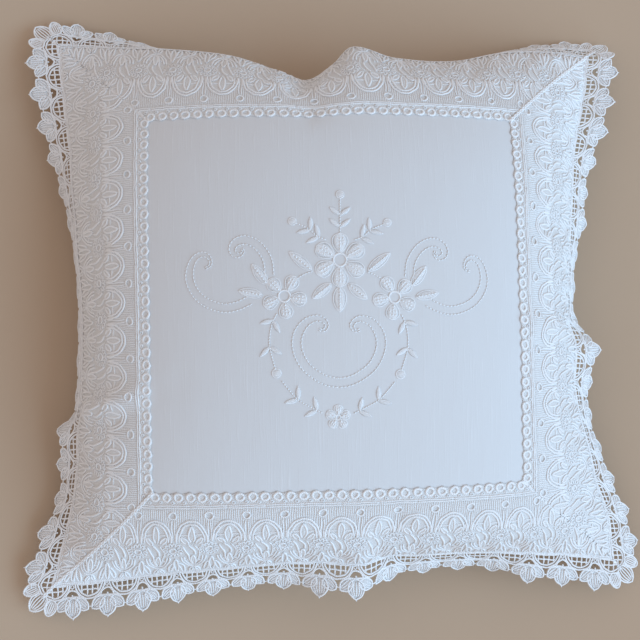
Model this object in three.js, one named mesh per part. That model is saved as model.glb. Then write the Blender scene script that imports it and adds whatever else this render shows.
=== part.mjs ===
// A filled square cushion in a white cover. Four mitred lace strips frame the front and pass its seam as a free,
// scalloped edge. The cushion lies on its back, face up, with its resting spot at z = 0 and the origin in its middle.
import * as THREE from "three";

// Driving dimensions in millimetres. The cover is square when it is laid flat and empty.
const COVER_SIDE = 400;
const REPEATS_ON_COVER = 16;
const REPEATS_ON_PANEL = 10;
const LACE_THICKNESS = 1.6;
const CLEARANCE = 0.45;
const MITRE_INSET = 0.35;

// One lace repeat is two cells wide, and every grid below is made of whole cells.
const REPEAT = COVER_SIDE / REPEATS_ON_COVER;
const CELL = REPEAT / 2;
const SEAM = COVER_SIDE / 2;
const PANEL = (REPEATS_ON_PANEL * REPEAT) / 2;
const CELLS_TO_SEAM = REPEATS_ON_COVER;
const CELLS_TO_PANEL = REPEATS_ON_PANEL;

// The filling: how far the face rises over the seam, and how square its shoulders are. The folds of a side stay near
// its seam by their power. The back sinks until it meets the surface that it lies on.
const CROWN_RISE = 74;
const CROWN_POWER = 0.72;
const CROWN_SHIFT = 0.08;
const BACK_SINK = 88;
const SEAM_LEVEL = 50;
const FOLD_POWER = 6;
const FLOOR_BLEND = 14;

// Where each seam corner ends up, from its place in the flat cover: across, up the face, and its height.
const CORNERS = {
  bottomLeft: [3, 12, 14],
  bottomRight: [-5, 20, 18],
  topLeft: [10, -6, 17],
  topRight: [-9, -19, 20],
};

// Each side is drawn in on a smooth bow, deepest in its middle, which dies away into the face by its power. Its folds
// have a row each: place along the side from -1 to 1, how far the seam is drawn out in all, the seam's height, and how
// many degrees the free lace edge droops there.
const [ALONG, OUT, HEIGHT, DROOP] = [0, 1, 2, 3];
const SIDES = {
  bottom: {
    outward: [0, -1],
    ends: ["bottomLeft", "bottomRight"],
    bow: { depth: 9, power: 5.5 },
    folds: [
      [-1.0, 0, 14, 12],
      [-0.82, -2, 18, 4],
      [-0.68, -4.5, 23, 12],
      [-0.55, -6.5, 30, 32],
      [-0.42, -8, 36, 40],
      [-0.29, -9.5, 41, 44],
      [-0.16, -10.5, 44, 38],
      [-0.04, -9.5, 45, 8],
      [0.08, -7, 46, 6],
      [0.18, -12, 45, 40],
      [0.3, -11.5, 44, 55],
      [0.42, -11.5, 42, 58],
      [0.56, -10.5, 39, 55],
      [0.68, -8.5, 35, 30],
      [0.83, -5.5, 28, 21],
      [1.0, 0, 18, 13],
    ],
  },
  right: {
    outward: [1, 0],
    ends: ["bottomRight", "topRight"],
    bow: { depth: 28, power: 3.5 },
    folds: [
      [-1.0, 0, 18, 22],
      [-0.83, -4, 26, 36],
      [-0.71, -12, 33, 43],
      [-0.57, -17.5, 39, 57],
      [-0.44, -24, 44, 58],
      [-0.32, -27.5, 47, 48],
      [-0.18, -26, 50, 33],
      [-0.07, -30.5, 51, 63],
      [0.05, -30, 52, 66],
      [0.2, -27, 51, 65],
      [0.33, -24.5, 49, 50],
      [0.46, -21.5, 45, 50],
      [0.6, -17.5, 37, 30],
      [0.74, -10.5, 30, 8],
      [0.88, -4, 24, 6],
      [1.0, 0, 20, 4],
    ],
  },
  top: {
    outward: [0, 1],
    ends: ["topLeft", "topRight"],
    bow: { depth: 15, power: 3.4 },
    folds: [
      [-1.0, 0, 17, 24],
      [-0.94, -0.5, 19, 36],
      [-0.81, -3, 26, 50],
      [-0.6, -6.5, 38, 78],
      [-0.36, -13, 48, 86],
      [-0.19, -24.5, 53, 86],
      [-0.08, -31.5, 54, 84],
      [0.02, -20, 56, 84],
      [0.09, -7, 56, 84],
      [0.24, -13.5, 54, 86],
      [0.46, -13, 46, 86],
      [0.68, -2, 34, 76],
      [0.86, 1, 26, 60],
      [1.0, 0, 20, 48],
    ],
  },
  left: {
    outward: [-1, 0],
    ends: ["bottomLeft", "topLeft"],
    bow: { depth: 21, power: 4 },
    folds: [
      [-1.0, 0, 14, 9],
      [-0.8, -10.5, 24, 32],
      [-0.69, -15.5, 32, 52],
      [-0.56, -19, 39, 48],
      [-0.45, -19.5, 44, 46],
      [-0.38, -21.5, 46, 70],
      [-0.2, -22.5, 50, 76],
      [0.02, -22, 52, 78],
      [0.2, -18.5, 51, 79],
      [0.3, -17, 50, 74],
      [0.44, -14, 46, 63],
      [0.56, -12.5, 40, 43],
      [0.71, -8, 30, 22],
      [0.85, -4, 24, 4],
      [1.0, 0, 17, 6],
    ],
  },
};

// The free edge of one repeat: across from the middle of its fan, and out from the seam.
const FAN_SIDE_LOBE = { across: 7.6, out: 16.6, radius: 4.9, from: 8, to: 98, steps: 3 };
const FAN_TIP_LOBE = { across: 0, out: 18.2, radius: 5.6, reach: 6.8, from: 25, to: 155, steps: 4 };
const FAN_JOIN = [15.9, 17.3];
const WEDGE_GAP = { top: 12.6, halfWidth: 2.7 };
const LENS_GAP = [
  [0, 4.5],
  [5, 9.5],
  [2.5, 10.7],
  [-2.5, 10.7],
  [-5, 9.5],
];

// The free edge past the seam's corner, up to the mitre: across from the seam corner, and out from the seam.
const CORNER_SIDE_LOBE = { across: 4.9, out: 16.6, radius: 4.9, from: 172, to: 82, steps: 3 };
const CORNER_TIP_LOBE = { across: 13.2, out: 13.2, radius: 7.6, from: 130, to: 45, steps: 3 };

const smoothed = (rows, place, column) => {
  const last = rows.length - 1;
  const at = THREE.MathUtils.clamp(place, rows[0][ALONG], rows[last][ALONG]);
  let i = 0;
  while (i < last - 1 && rows[i + 1][ALONG] <= at) i += 1;
  const slope = (k) => {
    const before = rows[Math.max(k - 1, 0)];
    const after = rows[Math.min(k + 1, last)];
    return (after[column] - before[column]) / (after[ALONG] - before[ALONG]);
  };
  const span = rows[i + 1][ALONG] - rows[i][ALONG];
  const t = (at - rows[i][ALONG]) / span;
  const start = rows[i][column] * (1 + 2 * t) * (1 - t) ** 2 + span * slope(i) * t * (1 - t) ** 2;
  const end = rows[i + 1][column] * t * t * (3 - 2 * t) - span * slope(i + 1) * t * t * (1 - t);
  return start + end;
};

const bowDepth = (side, along) => side.bow.depth * (1 - along * along);

// How far the seam has moved from the flat cover without its folds, with its height as the third number.
const bowMove = (side, along) => {
  const [start, end] = side.ends.map((name) => new THREE.Vector3(...CORNERS[name]));
  const move = start.lerp(end, (1 + along) / 2);
  const depth = bowDepth(side, along);
  return new THREE.Vector3(
    move.x - side.outward[0] * depth,
    move.y - side.outward[1] * depth,
    smoothed(side.folds, along, HEIGHT),
  );
};

// How far the folds move the seam from its bow.
const foldMove = (side, along) => {
  const out = smoothed(side.folds, along, OUT) + bowDepth(side, along);
  return new THREE.Vector3(side.outward[0] * out, side.outward[1] * out, 0);
};

// The direction in which the free edge leaves the seam.
const freeWay = (side, along) => {
  const droop = THREE.MathUtils.degToRad(smoothed(side.folds, along, DROOP));
  const level = Math.cos(droop);
  return new THREE.Vector3(side.outward[0] * level, side.outward[1] * level, -Math.sin(droop));
};

const crownShare = (p, q) => {
  const shifted = q - CROWN_SHIFT * (1 - q * q);
  return Math.max((1 - p * p) * (1 - shifted * shifted), 0) ** CROWN_POWER;
};

// The smaller of two numbers, with a rounded step between them.
const softMin = (a, b, blend) => {
  const apart = Math.abs(a - b);
  const rounding = apart < blend ? (blend * (1 - apart / blend) ** 2) / 4 : 0;
  return Math.min(a, b) - rounding;
};

// Where the point (u, v) of the flat cover lies. Past the seam it is on the free edge of the lace.
const clothPoint = (u, v, isBack = false) => {
  const p = THREE.MathUtils.clamp(u / SEAM, -1, 1);
  const q = THREE.MathUtils.clamp(v / SEAM, -1, 1);
  const acrossSide = p < 0 ? SIDES.left : SIDES.right;
  const alongSide = q < 0 ? SIDES.bottom : SIDES.top;
  const cornerName = `${q < 0 ? "bottom" : "top"}${p < 0 ? "Left" : "Right"}`;
  const acrossPull = Math.abs(p) ** acrossSide.bow.power;
  const alongPull = Math.abs(q) ** alongSide.bow.power;
  const level = new THREE.Vector3(0, 0, SEAM_LEVEL);
  const point = new THREE.Vector3(p * SEAM, q * SEAM, SEAM_LEVEL);
  point.addScaledVector(bowMove(acrossSide, q).sub(level), acrossPull);
  point.addScaledVector(bowMove(alongSide, p).sub(level), alongPull);
  point.addScaledVector(new THREE.Vector3(...CORNERS[cornerName]).sub(level), -acrossPull * alongPull);
  point.addScaledVector(foldMove(acrossSide, q), Math.abs(p) ** FOLD_POWER);
  point.addScaledVector(foldMove(alongSide, p), Math.abs(q) ** FOLD_POWER);
  const crown = crownShare(p, q);
  point.z += isBack ? -softMin(BACK_SINK * crown, point.z, FLOOR_BLEND) : CROWN_RISE * crown;
  point.addScaledVector(freeWay(acrossSide, q), Math.max(Math.abs(u) - SEAM, 0));
  point.addScaledVector(freeWay(alongSide, p), Math.max(Math.abs(v) - SEAM, 0));
  return point;
};

const toGeometry = (points, triangles) => {
  const geometry = new THREE.BufferGeometry();
  geometry.setAttribute("position", new THREE.Float32BufferAttribute(points.flatMap((p) => p.toArray()), 3));
  geometry.setIndex(triangles.flat());
  geometry.computeVertexNormals();
  return geometry;
};

// Two triangles for the cell whose low corner is (i, j). The diagonal runs away from the middle, as the mitres do.
const cellTriangles = (i, j) => {
  const [low, right, high, left] = [[i, j], [i + 1, j], [i + 1, j + 1], [i, j + 1]];
  const isRising = i < 0 === j < 0;
  return isRising
    ? [[low, right, high], [low, high, left]]
    : [[low, right, left], [right, high, left]];
};

const cushionGeometry = () => {
  const points = [];
  const triangles = [];
  const known = new Map();
  const vertex = (i, j, isBack) => {
    const isOnSeam = Math.max(Math.abs(i), Math.abs(j)) === CELLS_TO_SEAM;
    const key = `${i},${j},${isBack && !isOnSeam}`;
    if (!known.has(key)) {
      known.set(key, points.length);
      points.push(isOnSeam ? clothPoint(i * CELL, j * CELL) : clothPoint(i * CELL, j * CELL, isBack));
    }
    return known.get(key);
  };
  for (let i = -CELLS_TO_SEAM; i < CELLS_TO_SEAM; i += 1) {
    for (let j = -CELLS_TO_SEAM; j < CELLS_TO_SEAM; j += 1) {
      for (const corners of cellTriangles(i, j)) {
        triangles.push(corners.map(([a, b]) => vertex(a, b, false)));
        triangles.push(corners.map(([a, b]) => vertex(a, b, true)).reverse());
      }
    }
  }
  return toGeometry(points, triangles);
};

const arcPoints = ({ across, out, radius, reach = radius, from, to, steps }) =>
  Array.from({ length: steps + 1 }, (_, k) => {
    const angle = THREE.MathUtils.degToRad(THREE.MathUtils.lerp(from, to, k / steps));
    return [across + radius * Math.cos(angle), out + reach * Math.sin(angle)];
  });

const mirrored = (outline) => outline.map(([across, out]) => [-across, out]).reverse();

// One repeat of the free edge: a three-lobed fan under a lens gap, with half a wedge gap at each side.
const fanUnit = () => {
  const half = [
    [CELL, 0],
    [CELL, WEDGE_GAP.top],
    [CELL - WEDGE_GAP.halfWidth, WEDGE_GAP.top],
    [CELL, FAN_JOIN[0]],
    [CELL, FAN_JOIN[1]],
    ...arcPoints(FAN_SIDE_LOBE),
  ];
  return { outline: [[0, 0], ...half, ...arcPoints(FAN_TIP_LOBE), ...mirrored(half)], holes: [LENS_GAP] };
};

// The piece of free edge between the last repeat and the mitre, on the high end of a strip.
const cornerUnit = () => ({
  outline: [
    [0, 0],
    ...arcPoints(CORNER_TIP_LOBE).reverse(),
    ...arcPoints(CORNER_SIDE_LOBE).reverse(),
    [0, FAN_JOIN[1]],
    [0, FAN_JOIN[0]],
    [WEDGE_GAP.halfWidth, WEDGE_GAP.top],
    [0, WEDGE_GAP.top],
  ],
  holes: [],
});

const unitTriangles = ({ outline, holes }, place) => {
  const toVectors = (ring) => ring.map(([across, out]) => new THREE.Vector2(across, out));
  const rings = [outline, ...holes];
  const faces = THREE.ShapeUtils.triangulateShape(toVectors(outline), holes.map(toVectors));
  return faces.map((face) => face.map((k) => place(rings.flat()[k])));
};

// The triangles of a flat strip, as corners (along the strip, out from the middle of the cover).
const flatStrip = () => {
  const triangles = [];
  const isInside = ([along, out]) => Math.abs(along) <= out;
  for (let j = CELLS_TO_PANEL; j < CELLS_TO_SEAM; j += 1) {
    for (let i = -j - 1; i <= j; i += 1) {
      const kept = cellTriangles(i, j).filter((corners) => corners.every(isInside));
      triangles.push(...kept.map((corners) => corners.map(([a, b]) => [a * CELL, b * CELL])));
    }
  }
  for (let k = 0; k < REPEATS_ON_COVER; k += 1) {
    const middle = (k + 0.5) * REPEAT - SEAM;
    triangles.push(...unitTriangles(fanUnit(), ([across, out]) => [middle + across, SEAM + out]));
  }
  for (const end of [-1, 1]) {
    triangles.push(...unitTriangles(cornerUnit(), ([across, out]) => [end * (SEAM + across), SEAM + out]));
  }
  return triangles;
};

// Each strip is the flat strip turned to its side of the cover.
const TURN_TO_SIDE = {
  bottom: ([along, out]) => [along, -out],
  right: ([along, out]) => [out, along],
  top: ([along, out]) => [-along, out],
  left: ([along, out]) => [-out, -along],
};

const signedArea = ([a, b, c]) => (b[0] - a[0]) * (c[1] - a[1]) - (b[1] - a[1]) * (c[0] - a[0]);

// Gives a sheet of triangles its thickness, on the outer side of the cloth.
const thickened = (points, triangles) => {
  const normals = toGeometry(points, triangles).getAttribute("normal");
  const lifted = (height) =>
    points.map((p, k) => p.clone().addScaledVector(new THREE.Vector3().fromBufferAttribute(normals, k), height));
  const count = points.length;
  const under = triangles.map(([a, b, c]) => [c, b, a]);
  const over = triangles.map((face) => face.map((k) => k + count));
  const edges = triangles.flatMap(([a, b, c]) => [[a, b], [b, c], [c, a]]);
  const known = new Set(edges.map(([a, b]) => `${a},${b}`));
  const rim = edges.filter(([a, b]) => !known.has(`${b},${a}`));
  const walls = rim.flatMap(([a, b]) => [[a, b, b + count], [a, b + count, a + count]]);
  return toGeometry([...lifted(CLEARANCE), ...lifted(CLEARANCE + LACE_THICKNESS)], [...under, ...over, ...walls]);
};

const laceGeometry = (turn) => {
  const points = [];
  const known = new Map();
  const vertex = ([along, out]) => {
    const key = `${along.toFixed(3)},${out.toFixed(3)}`;
    if (!known.has(key)) {
      const limit = out - MITRE_INSET;
      known.set(key, points.length);
      points.push(clothPoint(...turn([THREE.MathUtils.clamp(along, -limit, limit), out])));
    }
    return known.get(key);
  };
  const triangles = flatStrip().map((corners) => {
    const isFaceUp = signedArea(corners.map(turn)) > 0;
    return (isFaceUp ? corners : [...corners].reverse()).map(vertex);
  });
  return thickened(points, triangles);
};

const LINEN = new THREE.MeshStandardMaterial({ color: 0xe9ecf1, roughness: 0.9, metalness: 0 });
const LACE = new THREE.MeshStandardMaterial({ color: 0xf1f2f4, roughness: 0.95, metalness: 0 });

const named = (name, geometry, material) => {
  const mesh = new THREE.Mesh(geometry, material);
  mesh.name = name;
  return mesh;
};

const cover = new THREE.Group();
cover.add(named("cushion", cushionGeometry(), LINEN));
for (const [side, turn] of Object.entries(TURN_TO_SIDE)) {
  cover.add(named(`lace_${side}`, laceGeometry(turn), LACE));
}

export default cover;
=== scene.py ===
"""Dresses a filled cushion in its white linen cover, with a mitred lace border and white embroidery."""

import math

import bpy
import numpy as np
from mathutils import Matrix, Vector


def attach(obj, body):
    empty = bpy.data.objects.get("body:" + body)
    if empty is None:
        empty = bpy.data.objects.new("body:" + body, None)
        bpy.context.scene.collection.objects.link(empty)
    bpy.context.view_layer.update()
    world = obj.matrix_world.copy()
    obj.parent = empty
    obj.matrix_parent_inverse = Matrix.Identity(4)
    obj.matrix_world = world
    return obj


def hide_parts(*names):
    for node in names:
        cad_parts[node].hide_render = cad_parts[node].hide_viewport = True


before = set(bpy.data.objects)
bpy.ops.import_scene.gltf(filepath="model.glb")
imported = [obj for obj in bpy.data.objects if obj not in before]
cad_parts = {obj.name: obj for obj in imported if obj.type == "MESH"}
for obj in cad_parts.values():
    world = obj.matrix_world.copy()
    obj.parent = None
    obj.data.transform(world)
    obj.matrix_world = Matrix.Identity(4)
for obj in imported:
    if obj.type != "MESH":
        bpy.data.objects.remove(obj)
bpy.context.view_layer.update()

# Driving dimensions in millimetres, as in the solids. The cover is square when it is laid flat and empty.
MM = 0.001
COVER_SIDE = 400.0
REPEATS_ON_COVER = 16
REPEATS_ON_PANEL = 10
REPEAT = COVER_SIDE / REPEATS_ON_COVER
CELL = REPEAT / 2
SEAM = COVER_SIDE / 2
PANEL = REPEATS_ON_PANEL * CELL
BAND = SEAM - PANEL

# The filling: rise of the face over the seam, squareness of its shoulders, and how far up it is highest.
CROWN_RISE = 74.0
CROWN_POWER = 0.72
CROWN_SHIFT = 0.08
# The back: how far it sinks, and the blend into its flat spot.
BACK_SINK = 88.0
FLOOR_BLEND = 14.0
# The seam's usual level, and the power by which folds stay near the seam.
SEAM_LEVEL = 50.0
FOLD_POWER = 6

# For each corner, by its signs: how far the seam moves from the flat cover, across and up, and its height.
CORNERS = {
    (-1, -1): (3, 12, 14),
    (1, -1): (-5, 20, 18),
    (-1, 1): (10, -6, 17),
    (1, 1): (-9, -19, 20),
}

# Folds of a side: place from -1 to 1, outward move of the seam, its height, and degrees of the lace's droop.
ALONG, OUT, HEIGHT, DROOP = range(4)
BOTTOM_FOLDS = [
    (-1.00, 0, 14, 12),
    (-0.82, -2, 18, 4),
    (-0.68, -4.5, 23, 12),
    (-0.55, -6.5, 30, 32),
    (-0.42, -8, 36, 40),
    (-0.29, -9.5, 41, 44),
    (-0.16, -10.5, 44, 38),
    (-0.04, -9.5, 45, 8),
    (0.08, -7, 46, 6),
    (0.18, -12, 45, 40),
    (0.30, -11.5, 44, 55),
    (0.42, -11.5, 42, 58),
    (0.56, -10.5, 39, 55),
    (0.68, -8.5, 35, 30),
    (0.83, -5.5, 28, 21),
    (1.00, 0, 18, 13),
]
RIGHT_FOLDS = [
    (-1.00, 0, 18, 22),
    (-0.83, -4, 26, 36),
    (-0.71, -12, 33, 43),
    (-0.57, -17.5, 39, 57),
    (-0.44, -24, 44, 58),
    (-0.32, -27.5, 47, 48),
    (-0.18, -26, 50, 33),
    (-0.07, -30.5, 51, 63),
    (0.05, -30, 52, 66),
    (0.20, -27, 51, 65),
    (0.33, -24.5, 49, 50),
    (0.46, -21.5, 45, 50),
    (0.60, -17.5, 37, 30),
    (0.74, -10.5, 30, 8),
    (0.88, -4, 24, 6),
    (1.00, 0, 20, 4),
]
TOP_FOLDS = [
    (-1.00, 0, 17, 24),
    (-0.94, -0.5, 19, 36),
    (-0.81, -3, 26, 50),
    (-0.60, -6.5, 38, 78),
    (-0.36, -13, 48, 86),
    (-0.19, -24.5, 53, 86),
    (-0.08, -31.5, 54, 84),
    (0.02, -20, 56, 84),
    (0.09, -7, 56, 84),
    (0.24, -13.5, 54, 86),
    (0.46, -13, 46, 86),
    (0.68, -2, 34, 76),
    (0.86, 1, 26, 60),
    (1.00, 0, 20, 48),
]
LEFT_FOLDS = [
    (-1.00, 0, 14, 9),
    (-0.80, -10.5, 24, 32),
    (-0.69, -15.5, 32, 52),
    (-0.56, -19, 39, 48),
    (-0.45, -19.5, 44, 46),
    (-0.38, -21.5, 46, 70),
    (-0.20, -22.5, 50, 76),
    (0.02, -22, 52, 78),
    (0.20, -18.5, 51, 79),
    (0.30, -17, 50, 74),
    (0.44, -14, 46, 63),
    (0.56, -12.5, 40, 43),
    (0.71, -8, 30, 22),
    (0.85, -4, 24, 4),
    (1.00, 0, 17, 6),
]
# Each side is drawn in on a bow, deepest in its middle, that dies away into the face by its power.
SIDES = {
    "bottom": {"outward": (0, -1), "bow": 9, "power": 5.5, "folds": BOTTOM_FOLDS},
    "right": {"outward": (1, 0), "bow": 28, "power": 3.5, "folds": RIGHT_FOLDS},
    "top": {"outward": (0, 1), "bow": 15, "power": 3.4, "folds": TOP_FOLDS},
    "left": {"outward": (-1, 0), "bow": 21, "power": 4, "folds": LEFT_FOLDS},
}

# The main creases of the face: start, end, height or depth, and half width.
CREASES = [
    ((-200, -77), (-126, -58), 4.0, 8),
    ((-132, -60), (-92, -54), -0.3, 7),
    ((-14, 200), (-22, 146), -3.5, 10),
    ((200, -26), (124, -16), 2.5, 9),
    ((200, 60), (128, 46), -2.0, 12),
]

# The cells along a side of the cover's mesh, and of the coarser skin that is filled in a simulation.
COVER_CELLS = 116
SETTLE_CELLS = 72
SETTLE_FRAMES = 20
SETTLE_PRESSURE = 4
SETTLE_SLACK = 0.006
SETTLE_STIFFNESS = 15
SETTLE_BENDING = 3.0
# The most that a point of the skin moves, and the height under which its back is held.
SETTLE_LIMIT = 1.8
SETTLE_FLOOR = 1.0

# How far the lace lies off the linen: its underside, its upper side, and its upper side where it is thin.
GROUND_LOW = 0.2
GROUND_TOP = 0.8
GROUND_THIN = 0.42

# The section of each kind of lace cord: width, height, sides of its tube, and the spacing of its rings.
CORD_KINDS = {
    "bead": (1.8, 1.0, 6, 1.2),
    "eyelet": (1.4, 1.0, 5, 1.2),
    "outline": (1.6, 1.1, 5, 1.5),
    "frame": (1.4, 1.2, 5, 1.6),
    "rail": (1.2, 1.0, 5, 2.5),
    "fine": (1.15, 0.85, 4, 1.4),
    "net": (1.15, 0.9, 5, 1.8),
    "rib": (0.75, 0.5, 4, 2.2),
    "petal_rib": (0.95, 1.0, 4, 1.8),
    "knot": (1.5, 1.5, 6, 0.7),
}
# How far a cord's middle stands over the ground, as a share of its height.
CORD_SEAT = 0.2

# How far the lace strays, on waves: radians for each millimetre along and out, and share of the phase.
WANDER = 0.16
WANDER_PHASE = 1.7
WANDER_ALONG = [(0.29, 0.53, 1), (0.91, -0.37, 2)]
WANDER_OUT = [(0.33, -0.61, 3), (1.07, 0.43, 1)]

# Cords are bent to the inset of a mitre, and cut where they pass it by more than the slack.
MITRE_INSET = 0.35
MITRE_SLACK = 0.8
# The mitres: the corner each goes to, and how far its lip stands over the lace. Below 0 it sinks in.
MITRES = [
    ((-1, -1), 0.7),
    ((1, -1), -0.35),
    ((-1, 1), -0.3),
    ((1, 1), 0.7),
]


def smoothed(rows, place, column):
    """Reads one column of a fold table at each place, on a smooth curve through its rows."""
    table = np.array(rows, float)
    along, value = table[:, ALONG], table[:, column]
    index = np.arange(len(along))
    before, after = np.maximum(index - 1, 0), np.minimum(index + 1, len(along) - 1)
    slope = (value[after] - value[before]) / (along[after] - along[before])
    at = np.clip(place, along[0], along[-1])
    i = np.clip(np.searchsorted(along, at, side="right") - 1, 0, len(along) - 2)
    span = along[i + 1] - along[i]
    t = (at - along[i]) / span
    start = value[i] * (1 + 2 * t) * (1 - t) ** 2 + span * slope[i] * t * (1 - t) ** 2
    end = value[i + 1] * t * t * (3 - 2 * t) - span * slope[i + 1] * t * t * (1 - t)
    return start + end


def bow_depth(side, along):
    return side["bow"] * (1 - along**2)


def bow_move(side, along):
    """How far the seam moves from the flat cover without its folds. The third number is its height."""
    x, y = side["outward"]
    start, end = (np.array(CORNERS[x or sign, y or sign], float) for sign in (-1, 1))
    move = start + (end - start) * ((1 + along) / 2)[:, None]
    move[:, :2] -= np.outer(bow_depth(side, along), side["outward"])
    move[:, 2] = smoothed(side["folds"], along, HEIGHT)
    return move


def fold_move(side, along):
    """How far the folds move the seam from its bow."""
    out = smoothed(side["folds"], along, OUT) + bow_depth(side, along)
    return np.column_stack([np.outer(out, side["outward"]), np.zeros_like(along)])


def free_way(side, along):
    """The direction in which the free lace edge leaves the seam."""
    droop = np.radians(smoothed(side["folds"], along, DROOP))
    level = np.outer(np.cos(droop), side["outward"])
    return np.column_stack([level, -np.sin(droop)])


def soft_min(a, b, blend):
    """The smaller of two numbers, with a rounded step between them."""
    apart = np.abs(a - b)
    rounding = np.where(apart < blend, blend * (1 - apart / blend) ** 2 / 4, 0)
    return np.minimum(a, b) - rounding


def nearest_corner(is_left, is_low):
    low, top = (np.where(is_left, CORNERS[-1, y], CORNERS[1, y]) for y in (-1, 1))
    return np.where(is_low, low, top)


def crown_share(p, q):
    """How far the filling rises at each point, from 0 at the seam to about 1."""
    shifted = q - CROWN_SHIFT * (1 - q * q)
    return np.maximum((1 - p * p) * (1 - shifted * shifted), 0) ** CROWN_POWER


def cloth(u, v, is_back=False):
    """Where the points (u, v) of the flat cover lie. Past the seam they are on the free edge of the lace."""
    p, q = np.clip(u / SEAM, -1, 1), np.clip(v / SEAM, -1, 1)
    is_left, is_low = (p < 0)[:, None], (q < 0)[:, None]

    def of_nearest_sides(reading):
        across = np.where(is_left, reading(SIDES["left"], q), reading(SIDES["right"], q))
        along = np.where(is_low, reading(SIDES["bottom"], p), reading(SIDES["top"], p))
        return across, along

    across_near, along_near = np.abs(p)[:, None], np.abs(q)[:, None]
    across_power, along_power = of_nearest_sides(lambda side, _: side["power"])
    across_pull, along_pull = across_near**across_power, along_near**along_power
    across_bow, along_bow = of_nearest_sides(bow_move)
    across_fold, along_fold = of_nearest_sides(fold_move)
    level = np.array([0, 0, SEAM_LEVEL])
    point = np.column_stack([p * SEAM, q * SEAM, np.full_like(p, SEAM_LEVEL)])
    point += across_pull * (across_bow - level) + along_pull * (along_bow - level)
    point -= across_pull * along_pull * (nearest_corner(is_left, is_low) - level)
    point += across_near**FOLD_POWER * across_fold + along_near**FOLD_POWER * along_fold
    if is_back:
        point[:, 2] -= soft_min(BACK_SINK * crown_share(p, q), point[:, 2], FLOOR_BLEND)
    else:
        point[:, 2] += CROWN_RISE * crown_share(p, q)
    across_way, along_way = of_nearest_sides(free_way)
    point += across_way * np.maximum(np.abs(u) - SEAM, 0)[:, None]
    point += along_way * np.maximum(np.abs(v) - SEAM, 0)[:, None]
    return point


def unit(vectors):
    return vectors / np.maximum(np.linalg.norm(vectors, axis=-1, keepdims=True), 1e-9)


def face_normal(u, v):
    step = 0.4
    along_u = cloth(u + step, v) - cloth(u - step, v)
    along_v = cloth(u, v + step) - cloth(u, v - step)
    return unit(np.cross(along_u, along_v))


def crease_rise(u, v):
    """How far the main creases raise the face. They run out at both ends."""
    rise = np.zeros_like(u)
    for start, end, height, half_width in CREASES:
        way = np.subtract(end, start)
        long = math.hypot(*way)
        t = ((u - start[0]) * way[0] + (v - start[1]) * way[1]) / long**2
        beside = ((u - start[0]) * way[1] - (v - start[1]) * way[0]) / long
        rise += height * np.clip(4 * t * (1 - t), 0, 1) * np.exp(-((beside / half_width) ** 2))
    return rise


def grid_faces(rows, columns):
    """The four-cornered faces of a grid of points that is stored row by row."""
    index = np.arange(rows * columns).reshape(rows, columns)
    corners = [index[:-1, :-1], index[:-1, 1:], index[1:, 1:], index[1:, :-1]]
    return np.stack([corner.ravel() for corner in corners], -1)


def new_object(name, data):
    made = bpy.data.objects.new(name, data)
    bpy.context.scene.collection.objects.link(made)
    return made


def skin(cells):
    """The flat points of the cover, which of them are on the seam, and the faces of its front and back."""
    line = np.linspace(-SEAM, SEAM, cells + 1)
    v, u = (axis.ravel() for axis in np.meshgrid(line, line, indexing="ij"))
    is_seam = np.maximum(np.abs(u), np.abs(v)) > SEAM - 1e-6
    index = np.arange(len(u))
    back_index = np.where(is_seam, index, index + len(u))
    faces = grid_faces(cells + 1, cells + 1)
    return u, v, is_seam, [faces, back_index[faces[:, ::-1]]]


def sewn_skin(points, faces, is_held):
    """A skin under pressure from within, which is held in some of its points."""
    mesh = bpy.data.meshes.new("settling")
    mesh.from_pydata((points * MM).tolist(), [], np.concatenate(faces).tolist())
    piece = new_object("settling", mesh)
    piece.vertex_groups.new(name="held").add(np.flatnonzero(is_held).tolist(), 1.0, "REPLACE")
    settings = piece.modifiers.new("settling", "CLOTH").settings
    settings.vertex_group_mass = "held"
    settings.shrink_min = settings.shrink_max = -SETTLE_SLACK
    settings.use_pressure = True
    settings.uniform_pressure_force = SETTLE_PRESSURE
    for kind in ("tension", "compression", "shear"):
        setattr(settings, f"{kind}_stiffness", SETTLE_STIFFNESS)
    settings.bending_stiffness = SETTLE_BENDING
    settings.effector_weights.gravity = 0
    return piece


def settle():
    """Fills the sewn cover in a cloth simulation, and tells how far each point of its face moves out."""
    u, v, is_seam, faces = skin(SETTLE_CELLS)
    normal, front, back = face_normal(u, v), cloth(u, v), cloth(u, v, is_back=True)
    front += normal * crease_rise(u, v)[:, None]
    is_held = np.concatenate([is_seam, is_seam | (back[:, 2] < SETTLE_FLOOR)])
    piece = sewn_skin(np.vstack([front, back]), faces, is_held)
    for number in range(1, SETTLE_FRAMES + 1):
        bpy.context.scene.frame_set(number)
    settled = piece.evaluated_get(bpy.context.evaluated_depsgraph_get()).data
    points = np.empty(len(settled.vertices) * 3, np.float32)
    settled.vertices.foreach_get("co", points)
    moved = points.reshape(-1, 3)[: len(u)] / MM - front
    bpy.data.objects.remove(piece)
    bpy.context.scene.frame_set(1)
    rise = (moved * normal).sum(1)
    rise = SETTLE_LIMIT * np.tanh(rise / SETTLE_LIMIT)
    return rise.reshape(SETTLE_CELLS + 1, SETTLE_CELLS + 1)


def settled_rise(u, v):
    """Reads the settled grid at each cloth point. Past the seam there is none."""
    x = np.clip((u / SEAM + 1) / 2, 0, 1) * SETTLE_CELLS
    y = np.clip((v / SEAM + 1) / 2, 0, 1) * SETTLE_CELLS
    i, j = (np.minimum(at.astype(int), SETTLE_CELLS - 1) for at in (x, y))
    s, t = x - i, y - j
    near = SETTLED[j, i] * (1 - s) + SETTLED[j, i + 1] * s
    far = SETTLED[j + 1, i] * (1 - s) + SETTLED[j + 1, i + 1] * s
    return near * (1 - t) + far * t


SETTLED = settle()


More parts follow.
